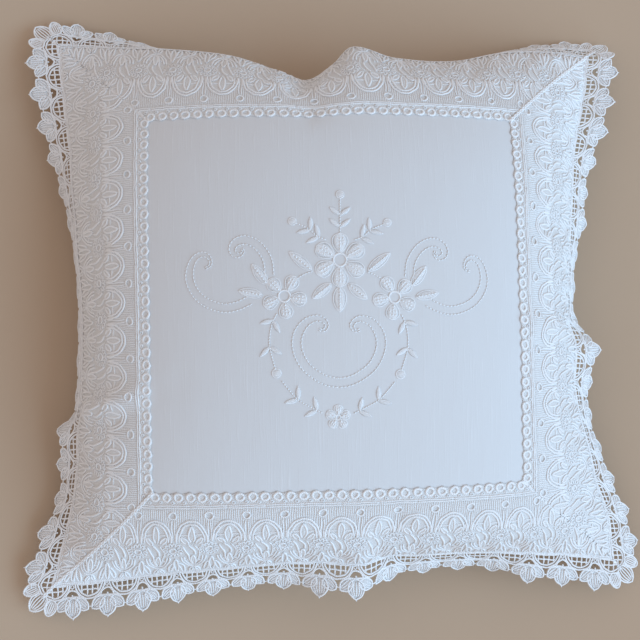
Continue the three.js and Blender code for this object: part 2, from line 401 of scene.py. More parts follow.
def on_cloth(uv):
    """The place and the outward normal of the front at each cloth point, creased and filled."""
    u, v = uv[:, 0], uv[:, 1]
    normal = face_normal(u, v)
    rise = crease_rise(u, v) + settled_rise(u, v)
    return cloth(u, v) + normal * rise[:, None], normal


class Parts:
    """Gathers the points, faces and thread marks of one piece."""

    def __init__(self):
        self.points, self.faces, self.marks = [], [], []
        self.count = 0

    def add(self, points, faces, marks):
        self.points.append(points)
        self.marks.append(marks)
        self.faces += [face + self.count for face in faces]
        self.count += len(points)

    def build(self, name, material, slot):
        """Makes the object, leaves out points that no face uses, and lets it ride on the frame."""
        loops = np.concatenate([face.ravel() for face in self.faces])
        sizes = np.concatenate([np.full(len(face), face.shape[1]) for face in self.faces])
        used, loops = np.unique(loops, return_inverse=True)
        points = np.concatenate(self.points)[used] * MM
        marks = np.concatenate(self.marks)[used]
        mesh = bpy.data.meshes.new(name)
        mesh.vertices.add(len(points))
        mesh.vertices.foreach_set("co", points.astype(np.float32).ravel())
        mesh.loops.add(len(loops))
        mesh.loops.foreach_set("vertex_index", loops.astype(np.int32))
        mesh.polygons.add(len(sizes))
        starts = np.concatenate([[0], np.cumsum(sizes)[:-1]])
        mesh.polygons.foreach_set("loop_start", starts.astype(np.int32))
        mesh.polygons.foreach_set("use_smooth", np.ones(len(sizes), bool))
        mesh.update(calc_edges=True)
        mark = mesh.attributes.new("mark", "FLOAT_VECTOR", "POINT")
        mark.data.foreach_set("vector", marks.astype(np.float32).ravel())
        mesh.materials.append(material)
        piece = new_object(name, mesh)
        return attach(piece, "root")


# How wide a thread still is at its ends, and the points of an arc, a petal's side and a flowing step.
END_SHARE = 0.5
ARC_POINTS = 49
PETAL_POINTS = 11
FLOW_POINTS = 10


def neighbours(table, is_closed):
    """Each column of a table, and the one after it."""
    return (table, np.roll(table, -1, 1)) if is_closed else (table[:, :-1], table[:, 1:])


def tube_faces(keep, sides, is_closed):
    """The walls of a bundle of tubes where their rings are kept, and the lids of open ones."""
    index = np.arange(keep.size * sides).reshape(*keep.shape, sides)
    start, end = neighbours(index, is_closed)
    before, after = neighbours(keep, is_closed)
    walls = np.stack([start, end, np.roll(end, -1, 2), np.roll(start, -1, 2)], -1)
    faces = [walls[before & after].reshape(-1, 4)]
    if not is_closed:
        faces.append(index[keep[:, 0], 0, :].reshape(-1, sides))
        faces.append(index[keep[:, -1], -1, ::-1].reshape(-1, sides))
    return faces


def add_tubes(parts, paths, width, height, lift, sides, is_closed=False, keep=None):
    """Lays a bundle of equally long threads on the cloth, with a row of cloth points for each in paths."""
    many, long = paths.shape[:2]
    centre, normal = (part.reshape(many, long, 3) for part in on_cloth(paths.reshape(-1, 2)))
    centre = centre + normal * np.broadcast_to(lift, (many, long))[..., None]
    taper = np.ones(long)
    if is_closed:
        forward = np.roll(centre, -1, 1) - np.roll(centre, 1, 1)
    else:
        forward = np.gradient(centre, axis=1)
        taper[[0, -1]] = END_SHARE
    side = unit(np.cross(forward, normal))
    rise = unit(np.cross(side, forward))
    turn = 2 * math.pi * (np.arange(sides) + 0.5) / sides
    across = side[:, :, None] * (np.cos(turn)[:, None] * width / 2)
    up = rise[:, :, None] * (np.sin(turn)[:, None] * height / 2)
    points = centre[:, :, None] + (across + up) * taper[:, None, None]
    steps = np.linalg.norm(np.diff(centre, axis=1), axis=-1)
    run = np.concatenate([np.zeros((many, 1)), np.cumsum(steps, axis=1)], axis=1)
    marks = np.zeros((many, long, sides, 3))
    marks[..., 0] = run[:, :, None]
    marks[..., 1] = turn / (2 * math.pi)
    keep = np.ones((many, long), bool) if keep is None else keep
    parts.add(points.reshape(-1, 3), tube_faces(keep, sides, is_closed), marks.reshape(-1, 3))


def resampled(path, step, is_closed=False):
    """Spaces points evenly along a drawn line."""
    line = np.asarray(path, float)
    if is_closed:
        line = np.vstack([line, line[:1]])
    lengths = np.hypot(*np.diff(line, axis=0).T)
    at = np.concatenate([[0], np.cumsum(lengths)])
    count = max(3 if is_closed else 2, round(at[-1] / step))
    places = np.linspace(0, at[-1], count + 1)
    if is_closed:
        places = places[:-1]
    return np.stack([np.interp(places, at, line[:, k]) for k in (0, 1)], -1)


def flowing(points):
    """A smooth line through a few drawn points."""
    rows = [(k, *point) for k, point in enumerate(points)]
    place = np.linspace(0, len(points) - 1, (len(points) - 1) * FLOW_POINTS + 1)
    return np.stack([smoothed(rows, place, column) for column in (1, 2)], -1)


def arc(x, w, radius_x, radius_w, start=0, end=360):
    """Points of an elliptic arc about (x, w), between two angles in degrees."""
    angle = np.radians(np.linspace(start, end, ARC_POINTS))
    return np.stack([x + radius_x * np.cos(angle), w + radius_w * np.sin(angle)], -1)


def ring(x, w, radius):
    return arc(x, w, radius, radius)[:-1]


# The shapes of petals and leaves: how slim their sides are, and how far out they are widest.
LEAF = (0.7, 0.9)
FAN = (0.6, 0.9)
SPOON = (0.5, 1.4)
ROUND = (0.5, 1.0)


def petal_line(base, tip, half_width, share, shape=LEAF, start=0.0, end=1.0):
    """A line along a petal from its base to its tip. Share -1 and 1 are its edges, and 0 is its middle."""
    slimness, outness = shape
    base, tip = np.array(base, float), np.array(tip, float)
    t = np.linspace(start, end, PETAL_POINTS)[:, None]
    way = (tip - base) / np.linalg.norm(tip - base)
    beside = np.array([way[1], -way[0]])
    half = half_width * np.maximum(np.sin(math.pi * t**outness), 0) ** slimness
    return base + (tip - base) * t + beside * half * share


def petal(base, tip, half_width, shape=LEAF):
    """The closed outline of a petal or a leaf."""
    one, other = (petal_line(base, tip, half_width, share, shape) for share in (1, -1))
    return np.vstack([one, other[-2:0:-1]])


def both(kind, is_closed, *lines):
    """Each line of a kind of cord, and its mirror image."""
    for line in lines:
        for flip in (1, -1):
            yield kind, is_closed, np.asarray(line, float) * (flip, 1)


# The pattern of a repeat, in (x, w): across from the column's middle, and out from the inner edge.
BEAD_PITCH = REPEAT / 3
BEAD_ROW = 4.9
BEAD_RADIUS = 2.6
BEAD_LINK = (BEAD_PITCH / 2, 8.4, 1.2, 0.9)
RAILS = (10.6, 12.1, BAND - 0.8, BAND + 0.9)
RAIL_OVERLAP = 1.2
HATCH_LINES = 17
HATCH_START = 12.8
HATCH_GAP = 0.6
EYELET_ROW = 18.0
EYELET_RADIUS = 2.7
EYELET_STEM = [(0.9, 22), (1.1, 28), (0.9, 34), (0.8, 39)]
# Its arches, bursts and cups: middles, radii across and out, spans in degrees, and ends of bars.
ARCH_MIDDLE = 37.5
ARCH_OUTER = (10.8, 15.6)
ARCH_INNER = (8.6, 13.2)
ARCH_OUTER_SPAN = (168, 372)
ARCH_INNER_SPAN = (170, 370)
ARCH_RIBS = 17
ARCH_BAR_END = (8.0, 33.0)
BURST_MIDDLE = (-1.4, 47.8)
BURST_PETALS = 13
BURST_RING = 2.5
BURST_REACH = (3.5, 7.3)
BURST_HALF = 1.1
CUP_MIDDLE = 54.0
CUP_OUTER = (8.6, 13.6)
CUP_INNER = (6.6, 11.4)
CUP_SPAN = (6, 174)
CUP_BAR_END = (5.4, 59.5)
# Its ovals, leaves and spindles: base, tip and half width.
STEM_LEAF = ((1.0, 39.5), (2.9, 31.5), 0.9)
MIDDLE_OVAL = ((0, 57.5), (0, 73.6), 1.7)
SIDE_OVAL = ((2.2, 62.5), (5.6, 73.8), 1.5)
ARCH_SPINDLE = ((0, 40.5), (0, 26.2), 2.0)
ARCH_LEAF = ((2.8, 41.6), (7.4, 35.4), 1.5)
CUP_SPINDLE = ((0, 65.2), (0, 53.6), 1.6)
CUP_LEAF = ((0.7, 68.8), (3.6, 74.0), 1.0)
# Its sweeping lines between an arch and a cup: kind of cord, and points.
SWEEPS = [
    ("outline", [(-7.2, 43.4), (-5.2, 47.6), (-3.4, 53.0), (-2.6, 59.0), (-1.2, 65.6)]),
    ("outline", [(-3.4, 42.0), (-0.8, 44.6), (1.2, 48.8), (1.2, 53.4)]),
    ("fine", [(1.6, 43.0), (3.6, 46.0), (4.6, 50.0), (4.2, 55.0), (2.2, 61.0)]),
]


def bead_column():
    yield "bead", True, ring(0, BEAD_ROW, BEAD_RADIUS)
    yield "fine", True, arc(*BEAD_LINK)[:-1]


def eyelet_column():
    yield "eyelet", True, ring(0, EYELET_ROW, EYELET_RADIUS)
    yield from both("fine", False, EYELET_STEM, petal(*STEM_LEAF))
    yield "outline", True, ring(*BURST_MIDDLE, BURST_RING)
    for k in range(BURST_PETALS):
        angle = 2 * math.pi * k / BURST_PETALS
        way = np.array([math.sin(angle), math.cos(angle)])
        base, tip = (BURST_MIDDLE + reach * way for reach in BURST_REACH)
        yield "fine", True, petal(base, tip, BURST_HALF)
    yield "outline", True, petal(*MIDDLE_OVAL)
    yield from both("outline", True, petal(*SIDE_OVAL))


def spindle(loop, bar_end):
    """A narrow loop that stands in a ring, with a bar across the ring on both sides of it."""
    base, tip, half_width = loop
    yield "outline", True, petal(base, tip, half_width)
    yield from both("fine", False, [(half_width, bar_end[1]), bar_end])


def arch_column():
    yield "outline", False, arc(0, ARCH_MIDDLE, *ARCH_OUTER, *ARCH_OUTER_SPAN)
    yield "outline", False, arc(0, ARCH_MIDDLE, *ARCH_INNER, *ARCH_INNER_SPAN)
    for angle in np.radians(np.linspace(*ARCH_INNER_SPAN, ARCH_RIBS)):
        c, s = math.cos(angle), math.sin(angle)
        ends = [(rx * c, ARCH_MIDDLE + rw * s) for rx, rw in (ARCH_INNER, ARCH_OUTER)]
        yield "rib", False, ends
    yield from spindle(ARCH_SPINDLE, ARCH_BAR_END)
    yield from both("outline", True, petal(*ARCH_LEAF))
    for kind, points in SWEEPS:
        yield kind, False, flowing(points)
    for radii in (CUP_OUTER, CUP_INNER):
        yield "outline", False, arc(0, CUP_MIDDLE, *radii, *CUP_SPAN)
    yield from spindle(CUP_SPINDLE, CUP_BAR_END)
    yield from both("outline", True, petal(*CUP_LEAF))


def hatch_column():
    """Ribs between the rails and the arches, broken where an eyelet lies."""
    for k in range(HATCH_LINES):
        x = (k + 0.5) * REPEAT / HATCH_LINES - CELL
        beside = CELL - abs(x)
        share = min(abs(x) / ARCH_OUTER[0], 1)
        end = ARCH_MIDDLE - ARCH_OUTER[1] * math.sqrt(1 - share**2) - HATCH_GAP
        if beside < EYELET_RADIUS:
            reach = math.sqrt(EYELET_RADIUS**2 - beside**2)
            yield "rib", False, [(x, HATCH_START), (x, EYELET_ROW - reach)]
            yield "rib", False, [(x, EYELET_ROW + reach), (x, end)]
        else:
            yield "rib", False, [(x, HATCH_START), (x, end)]


# The free edge, out from the seam: net windows, and between them fans of three petals under an open lens.
NET_OUTER = (10.7, 11.6)
NET_INNER = (8.9, 9.8)
NET_COLUMNS = (-5.6, -1.9, 1.9, 5.6)
NET_ROWS = (1.8, 5.4)
LENS_TOP = [(-5.0, 10.2), (-3.2, 6.7), (0, 5.0), (3.2, 6.7), (5.0, 10.2)]
FAN_BAND = [(-9.0, 12.1), (-5.4, 10.3), (0, 10.3), (5.4, 10.3), (9.0, 12.1)]
FAN_MIDDLE = ((0, 10.6), (0, 25.0), 5.6)
FAN_MIDDLE_RIBS = (-0.66, -0.33, 0, 0.33, 0.66)
FAN_SIDE = ((2.7, 11.7), (11.0, 19.0), 3.9)
FAN_SIDE_RIBS = (-0.5, 0, 0.5)
FAN_RIB_SPAN = (0.14, 0.88)
FAN_PICOT = [(0, 24.8), (0, 25.6), (0, 26.3)]
FAN_LINK = [(9.8, 16.8), (12.5, 17.4), (15.2, 16.8)]
FAN_EYE = (0, BAND + 2.9, 1.2)
FAN_KNOT = [(0, 8.3), (0, 9.0), (0, 9.7)]


def past_seam(points):
    return [(x, BAND + w) for x, w in points]


def net_column():
    for radii in (NET_OUTER, NET_INNER):
        yield "frame", False, arc(0, BAND, *radii, 0, 180)
    for x in NET_COLUMNS:
        reach = NET_INNER[1] * math.sqrt(1 - (x / NET_INNER[0]) ** 2)
        yield "net", False, [(x, BAND), (x, BAND + reach)]
    for w in NET_ROWS:
        reach = NET_INNER[0] * math.sqrt(1 - (w / NET_INNER[1]) ** 2)
        yield "net", False, [(-reach, BAND + w), (reach, BAND + w)]


def fan_petals():
    """The three petals of a fan: base, tip, half width and places of the ribs, out from the inner edge."""
    base, tip, half = FAN_SIDE
    for side in (-1, 1):
        yield *past_seam([(side * x, w) for x, w in (base, tip)]), half, FAN_SIDE_RIBS
    base, tip, half = FAN_MIDDLE
    yield *past_seam([base, tip]), half, FAN_MIDDLE_RIBS


def fan_column():
    for base, tip, half, ribs in fan_petals():
        yield "frame", True, petal(base, tip, half, FAN)
        for share in ribs:
            yield "petal_rib", False, petal_line(base, tip, half, share, FAN, *FAN_RIB_SPAN)
    yield "fine", False, past_seam(FAN_PICOT)
    yield "fine", False, past_seam(FAN_LINK)
    yield "frame", False, flowing(past_seam(LENS_TOP))
    yield "frame", False, flowing(past_seam(FAN_BAND))
    yield "fine", True, ring(*FAN_EYE)
    yield "knot", False, past_seam(FAN_KNOT)


def rail_column():
    for w in RAILS:
        yield "rail", False, [(-RAIL_OVERLAP, w), (CELL, w), (REPEAT + RAIL_OVERLAP, w)]


def columns_at(pitch, offset, reach):
    """The middles of a strip's columns, out to a reach on both sides."""
    first = math.ceil((-reach - offset) / pitch)
    last = math.floor((reach - offset) / pitch)
    return offset + pitch * np.arange(first, last + 1)


# What repeats along a strip: its lines, its pitch, the place of a column and the reach to both sides.
PATTERN = [
    (bead_column, BEAD_PITCH, 0, SEAM),
    (hatch_column, REPEAT, 0, SEAM),
    (eyelet_column, REPEAT, CELL, SEAM),
    (arch_column, REPEAT, 0, SEAM),
    (rail_column, REPEAT, 0, SEAM + REPEAT),
    (net_column, REPEAT, 0, SEAM),
    (fan_column, REPEAT, CELL, SEAM),
]


def strip_to_cloth(strip, points):
    """Turns a strip's own points, along and out from the middle of the cover, into cloth points."""
    x, y = SIDES[strip]["outward"]
    return points @ np.array([[-y, x], [x, y]], float)


def wander(points, strip):
    """Lets the lines of the lace stray a little, as thread does."""
    s, w = points[..., 0], points[..., 1]
    phase = list(SIDES).index(strip) * WANDER_PHASE
    moves = []
    for waves in (WANDER_ALONG, WANDER_OUT):
        moves.append(sum(np.sin(by_s * s + by_w * w + share * phase) for by_s, by_w, share in waves))
    return points + WANDER * np.stack(moves, -1)


# The thin places of the ground: where the bead row and an eyelet's hole end, and the width of the step up.
BEADS_END = 8.0
BEADS_STEP = 1.0
EYELET_HOLE = 1.8
EYELET_STEP = 0.7

# The rows of points across a strip's ground, out from its inner edge, and the points in each.
BEAD_ROWS = [1.0, 4.5, 7.8, 8.4, 9.0]
EYELET_ROWS = np.arange(14.4, 21.7, 0.8)
OTHER_ROWS = np.linspace(25, BAND + 1.4, 13)
GROUND_COLUMNS = 330
# The scallops of its inner edge: their depth, and how far out they die away.
SCALLOP_DEPTH = 2.0
SCALLOP_REACH = 4.5

# The pads in the petals: height of the underside and of the rim, and swell of the middle.
FAN_PAD = (GROUND_LOW, 0.7, 0.15)
SPINDLE_PAD = (0.7, 0.9, 0.5)
LEAF_PAD = (0.7, 0.9, 0.4)
# How much narrower they are than the outline, the spacing of their points, and the size of their rings.
FAN_PAD_SHARE = 0.96
SPINDLE_PAD_INSET = 0.2
LEAF_PAD_INSET = 0.1
PAD_STEP = 1.6
PAD_RINGS = np.array([1, 0.75, 0.45, 0.15])


def ground_top(s, w):
    """How far the ground's upper side lies off the linen, at s along a strip and w from the middle."""
    past_beads = np.clip((w - PANEL - BEADS_END) / BEADS_STEP, 0, 1)
    from_eyelet = np.hypot(s % REPEAT - CELL, w - PANEL - EYELET_ROW)
    past_eyelet = np.clip((from_eyelet - EYELET_HOLE) / EYELET_STEP, 0, 1)
    return GROUND_THIN + (GROUND_TOP - GROUND_THIN) * past_beads * past_eyelet


def lay_cord(parts, strip, path, columns, kind, is_closed):
    """Repeats one line of the pattern along a strip and cuts it at the mitres."""
    width, height, sides, step = CORD_KINDS[kind]
    line = resampled(path, step, is_closed) + (0, PANEL)
    paths = wander(line[None] + np.stack([columns, np.zeros_like(columns)], -1)[:, None], strip)
    limit = paths[..., 1] - MITRE_INSET
    inside = np.abs(paths[..., 0]) < limit + MITRE_SLACK
    rows = inside.any(1)
    paths[..., 0] = np.clip(paths[..., 0], -limit, limit)
    lift = ground_top(paths[rows, :, 0], paths[rows, :, 1]) + CORD_SEAT * height
    add_tubes(parts, strip_to_cloth(strip, paths[rows]), width, height, lift, sides, is_closed, inside[rows])


def add_slab(parts, strip, flat, top, low, faces):
    """Lays a closed piece of lace on the linen, from its points on the flat strip."""
    place, normal = on_cloth(strip_to_cloth(strip, flat))
    points = np.vstack([place + normal * top[:, None], place + normal * low])
    marks = np.column_stack([np.tile(flat, (2, 1)), np.zeros(len(points))])
    parts.add(points, faces, marks)


def add_pads(parts, strip, outline, columns, low, high, swell):
    """Fills an outline of the pattern with a closed pad, in each of its columns."""
    rim = resampled(outline, PAD_STEP, is_closed=True)
    turns, middle = len(rim), rim.mean(0)
    disc = (middle + (rim - middle)[None] * PAD_RINGS[:, None, None]).reshape(-1, 2) + (0, PANEL)
    rise = np.repeat(high + swell * (1 - PAD_RINGS**2), turns)
    index = np.arange(len(disc)).reshape(-1, turns)
    beside = np.roll(index, -1, 1)
    upper = np.stack([index[:-1], beside[:-1], beside[1:], index[1:]], -1).reshape(-1, 4)
    lower = upper[:, ::-1] + len(disc)
    wall = np.stack([index[0], index[0] + len(disc), beside[0] + len(disc), beside[0]], -1)
    lids = np.stack([index[-1], index[-1, ::-1] + len(disc)])
    for s in columns:
        flat = wander(disc + (s, 0), strip)
        if np.any(np.abs(flat[:, 0]) > flat[:, 1] - MITRE_INSET):
            continue
        add_slab(parts, strip, flat, rise, low, [upper, lower, wall, lids])


def add_ground(parts, strip):
    """The solid ground of a strip, from its scalloped inner edge to the seam, as a closed thin cloth."""
    places = np.concatenate([BEAD_ROWS, EYELET_ROWS, OTHER_ROWS])
    columns, rows = GROUND_COLUMNS, len(places)
    t = np.linspace(-1, 1, columns)
    scallop = SCALLOP_DEPTH * np.abs(np.sin(math.pi * t * PANEL / BEAD_PITCH))
    out = PANEL + places[:, None] + scallop * np.clip(1 - places / SCALLOP_REACH, 0, 1)[:, None]
    flat = np.stack([t * (out - MITRE_INSET), out], -1).reshape(-1, 2)
    grid = grid_faces(rows, columns)
    index = np.arange(rows * columns).reshape(rows, columns)
    rim = np.concatenate([index[0, :-1], index[:-1, -1], index[-1, :0:-1], index[:0:-1, 0]])
    beside = np.roll(rim, -1)
    wall = np.stack([rim, beside, beside + rows * columns, rim + rows * columns], -1)
    faces = [grid[:, ::-1], grid + rows * columns, wall]
    add_slab(parts, strip, flat, ground_top(*flat.T), GROUND_LOW, faces)


def make_strip(strip):
    """One lace strip: its ground with the padded petals, and the cords that lie on it."""
    ground, cords = Parts(), Parts()
    add_ground(ground, strip)
    for column, pitch, offset, reach in PATTERN:
        columns = columns_at(pitch, offset, reach)
        for kind, is_closed, path in column():
            lay_cord(cords, strip, path, columns, kind, is_closed)
    fans = columns_at(REPEAT, CELL, SEAM)
    for base, tip, half, _ in fan_petals():
        add_pads(ground, strip, petal(base, tip, half * FAN_PAD_SHARE, FAN), fans, *FAN_PAD)
    arches = columns_at(REPEAT, 0, SEAM)
    for base, tip, half in (ARCH_SPINDLE, CUP_SPINDLE):
        add_pads(ground, strip, petal(base, tip, half - SPINDLE_PAD_INSET), arches, *SPINDLE_PAD)
    base, tip, half = ARCH_LEAF
    for flip in (1, -1):
        line = petal(base, tip, half - LEAF_PAD_INSET) * (flip, 1)
        add_pads(ground, strip, line, arches, *LEAF_PAD)
    ground_piece = ground.build(f"lace_{strip}_ground", LACE, "lace")
    cord_piece = cords.build(f"lace_{strip}_cords", LACE_CORD, "lace")
    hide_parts(f"lace_{strip}")
    return ground_piece, cord_piece


# The lip of a mitre: start and end on each axis, spacing, length of a stitch, and sway of its threads.
LIP_RUN = (PANEL + 1, SEAM + 10)
LIP_STEP = 0.8
LIP_STITCH = 5.2
LIP_SWAY = 0.9
# Its core and its threads: width, height and lift.
LIP_CORE = (1.8, 1.0, GROUND_TOP - 0.2)
LIP_THREAD = (1.0, 0.8, GROUND_TOP + 0.05)
# The petals that close a corner of the border: base, tip and half width, from the seam's corner.
CORNER_PETALS = [
    ((1.2, 11.0), (6.4, 22.6), 4.2),
    ((11.0, 1.2), (22.6, 6.4), 4.2),
    ((7.0, 7.0), (18.4, 18.4), 5.8),
]
CORNER_STEP = 1.4
# Their cords and ribs: width, height and lift. Then the places of the ribs, and where they start and end.
CORNER_CORD = (1.3, 1.1, GROUND_TOP)
CORNER_RIB = (1.1, 0.8, GROUND_TOP - 0.1)
CORNER_RIBS = (-0.7, -0.35, 0, 0.35, 0.7)
CORNER_RIB_SPAN = (0.12, 0.9)


def add_lip(parts, turn, rise):
    """A rope of two threads that cross, over the gap between two strips."""
    run = np.arange(*LIP_RUN, LIP_STEP)
    lip = np.stack([run, run], -1) * turn
    beside = np.array([1, -1]) * turn / math.sqrt(2)
    sway = LIP_SWAY * np.sin(2 * math.pi * run / LIP_STITCH)[:, None] * beside
    width, height, lift = LIP_CORE
    add_tubes(parts, lip[None], width + rise, height + rise, lift + rise / 2, sides=6)
    width, height, lift = LIP_THREAD
    add_tubes(parts, np.stack([lip + sway, lip - sway]), width, height, lift + rise, sides=6)


def add_corner_petals(parts, turn):
    for base, tip, half in CORNER_PETALS:
        base, tip = (np.array(end) + SEAM for end in (base, tip))
        outline = resampled(petal(base, tip, half, FAN), CORNER_STEP, is_closed=True)
        add_tubes(parts, (outline * turn)[None], *CORNER_CORD, sides=6, is_closed=True)
        for share in CORNER_RIBS:
            rib = petal_line(base, tip, half, share, FAN, *CORNER_RIB_SPAN)
            add_tubes(parts, (rib * turn)[None], *CORNER_RIB, sides=5)


def make_mitres():
    """The sewn lips where the strips meet, and the petals past them."""
    parts = Parts()
    for corner, rise in MITRES:
        turn = np.array(corner, float)
        add_lip(parts, turn, rise)
        add_corner_petals(parts, turn)
    parts.build("lace_mitres", LACE_CORD, "lace")


def make_cover():
    """The linen cover as one closed skin, with the front and the back joined at the seam."""
    u, v, _, faces = skin(COVER_CELLS)
    front, _ = on_cloth(np.stack([u, v], -1))
    back = cloth(u, v, is_back=True)
    parts = Parts()
    marks = np.column_stack([np.tile(u, 2), np.tile(v, 2), np.repeat([0.0, 1.0], len(u))])
    parts.add(np.vstack([front, back]), faces, marks)
    piece = parts.build("cushion_cover", LINEN, "linen")
    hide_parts("cushion")


# The embroidery, from the middle of the panel. What lies left of it is mirrored, except the flowers.
EMBROIDERY_TURN = math.radians(-1.7)
# Flowers: across, up, number of petals, petal length, petal width, radius of the ring and first heading.
FLOWERS = [
    (0, 22.5, 6, 13.4, 10.2, 4.2, 90),
    (-35.5, -1.0, 5, 10.8, 8.8, 3.7, 277),
    (35.5, -1.0, 5, 10.8, 8.8, 3.7, 263),
    (0, -78, 5, 6.4, 5.8, 1.6, 90),
]
# Leaves with a sewn vein: base and tip, and half width.
VEINED_LEAVES = [
    ((-18.0, 15.5), (-32.5, 27.5), 3.0),
    ((-5.5, 7.0), (-17.5, -2.5), 3.2),
    ((-46.5, 6.5), (-56.5, 19.5), 3.2),
    ((-49.5, -0.5), (-65.0, 2.5), 2.9),
]
MIDDLE_LEAF = ((0, 5.5), (0, -11.0), 4.2)
FLOWER_STEM = [(-17.5, 15.0), (-25.5, 11.5), (-33.0, 4.0)]
# A sprig's leaf, in shares of its length: how far it goes forward and aside, and its half width.
LEAF_FORWARD = 0.62
LEAF_ASIDE = 0.78
LEAF_HALF = 0.2
# Sprigs: the stem's points, the places of its leaf pairs, the leaf length, and the bud's radius or 0.
MIDDLE_SPRIG = ([(0, 39), (0, 51), (0, 64)], (0.2, 0.52), 8.6, 2.5)
SPRIGS = [
    ([(-9, 35.5), (-15, 38), (-20.5, 42.8), (-29, 46.8)], (0.22, 0.53), 8.8, 2.4),
    ([(-40, -12), (-43.5, -20), (-44.5, -33), (-40.5, -48)], (0.14, 0.6), 8.8, 2.8),
    ([(-10, -75.5), (-18, -71.5), (-27, -66), (-36.5, -55)], (0.12, 0.52), 8.8, 0),
]
# A scroll closes up by a power over the last part of its line, and stops at a share of that part.
SCROLL_LAST = 0.4
SCROLL_STOP = 0.12
SCROLL_POWER = 0.7
# Scrolls: the spacing of the two rows, and points of the middle line from the open end to the curled end.
SCROLLS = [
    (5.6, [
        (-45, 12), (-46.5, 22.5), (-52.5, 31.5), (-61, 35.5), (-68, 33),
        (-69.5, 28), (-66, 25), (-62, 27), (-63, 30),
    ]),
    (5.4, [
        (-57, -3.5), (-66, -7.5), (-76, -8.5), (-88, -4), (-95.5, 4), (-98, 13.5),
        (-95, 23), (-89, 26.5), (-84.5, 24), (-83.5, 19), (-87.5, 17),
    ]),
    (5.9, [
        (0, -56), (-6, -55.2), (-12.5, -52.5), (-21.5, -45.5), (-26.5, -35.5), (-26.5, -26),
        (-21.5, -18), (-13.5, -15), (-8, -18.5), (-9.5, -23), (-13.5, -22),
    ]),
]
# The height of its threads, the spacing and lift of an outline, and the places and lifts along a stitch.
THREAD_HEIGHT = 0.5
OUTLINE_STEP = 1.1
OUTLINE_LIFT = 0.2
STITCH_PLACES = np.array([0.05, 0.28, 0.5, 0.72, 0.95])
STITCH_LIFTS = 0.25 * np.array([0, 0.8, 1, 0.8, 0])
# Satin stitches: pitch, slant, width and lift, and the places along each.
SATIN_PITCH = 0.62
SATIN_SLANT = 0.05
SATIN_WIDTH = 0.75
SATIN_LIFT = 0.1
SATIN_PLACES = np.array([0, 0.2, 0.5, 0.8, 1])
# The length and width of the stitches in stems and veins, and the width of a thread round a petal.
STEM_STITCH = (1.9, 0.85)
VEIN_STITCH = (2.1, 0.9)
EDGE_WIDTH = 0.75
# Where a leaf's vein starts and ends, and how high it lies.
VEIN_SPAN = (0.06, 0.88)
VEIN_LIFT = 0.72
# The rows of stitches on a flower's petal: place across it, start and end along it, and lift.
PETAL_ROWS = [(0, 0.1, 0.8, 0.55), (-0.45, 0.4, 0.8, 0.4), (0.45, 0.4, 0.8, 0.4)]


def sew(parts, paths, width, lift, sides=6, is_closed=False):
    """Lays threads of the embroidery, which stands a little turned on the panel."""
    c, s = math.cos(EMBROIDERY_TURN), math.sin(EMBROIDERY_TURN)
    turned = paths @ np.array([[c, s], [-s, c]])
    add_tubes(parts, turned, width, THREAD_HEIGHT, lift, sides, is_closed)


def sew_outline(parts, outline, width):
    """A thread along a closed line."""
    line = resampled(outline, OUTLINE_STEP, is_closed=True)
    sew(parts, line[None], width, OUTLINE_LIFT, is_closed=True)


def add_row(parts, path, length=2.5, width=0.8, lift=0.05):
    """A row of back stitches along a line."""
    line = resampled(path, length)
    start, end = line[:-1, None], line[1:, None]
    sew(parts, start + (end - start) * STITCH_PLACES[None, :, None], width, lift + STITCH_LIFTS)


def add_satin(parts, base, tip, half_width, rise, shape=LEAF):
    """A petal or a leaf of close satin stitches over padding."""
    count = max(4, round(math.dist(base, tip) / SATIN_PITCH))
    t = (np.arange(count) + 0.5) / count

    def on_edge(share, at):
        edge = petal_line(base, tip, half_width, share, shape)
        place = np.linspace(0, 1, len(edge))
        return np.stack([np.interp(at, place, edge[:, k]) for k in (0, 1)], -1)

    left, right = on_edge(-1, t), on_edge(1, np.clip(t + SATIN_SLANT, 0, 1))
    paths = left[:, None] + (right - left)[:, None] * SATIN_PLACES[None, :, None]
    swell = np.sin(math.pi * t) ** 0.6
    lift = SATIN_LIFT + rise * swell[:, None] * (1 - np.abs(2 * SATIN_PLACES - 1) ** 3)[None]
    sew(parts, paths, SATIN_WIDTH, lift, sides=5)


def add_flower(parts, x, y, petals, length, width, radius, heading):
    """A flower of satin petals about a sewn ring."""
    middle = np.array([x, y], float)
    for k in range(petals):
        angle = math.radians(heading + 360 * k / petals)
        way = np.array([math.cos(angle), math.sin(angle)])
        base, tip = middle + radius * way, middle + (radius + length) * way
        add_satin(parts, base, tip, width / 2, rise=0.42, shape=SPOON)
        sew_outline(parts, petal(base, tip, width / 2, SPOON), EDGE_WIDTH)
        for share, start, end, lift in PETAL_ROWS:
            row = petal_line(base, tip, width / 2, share, SPOON, start, end)
            add_row(parts, row, *VEIN_STITCH, lift)
    sew_outline(parts, ring(x, y, radius), width=1.4)


def add_sprig(parts, points, places, leaf, bud):
    """A stem with pairs of leaves and a bud at its end."""
    stem = flowing(points)
    add_row(parts, stem, *STEM_STITCH)
    even = resampled(stem, step=1.0)
    ways = unit(np.gradient(even, axis=0))
    for place in places:
        k = round(place * (len(even) - 1))
        for side in (-1, 1):
            beside = np.array([-ways[k, 1], ways[k, 0]]) * side
            tip = even[k] + (ways[k] * LEAF_FORWARD + beside * LEAF_ASIDE) * leaf
            add_satin(parts, even[k], tip, leaf * LEAF_HALF, rise=0.35)
    if bud:
        add_bud(parts, *(even[-1] + ways[-1] * bud * 0.8), bud)


def add_bud(parts, x, y, radius):
    add_satin(parts, (x - radius, y), (x + radius, y), radius * 0.95, rise=0.4, shape=ROUND)
    sew_outline(parts, ring(x, y, radius), width=0.9)


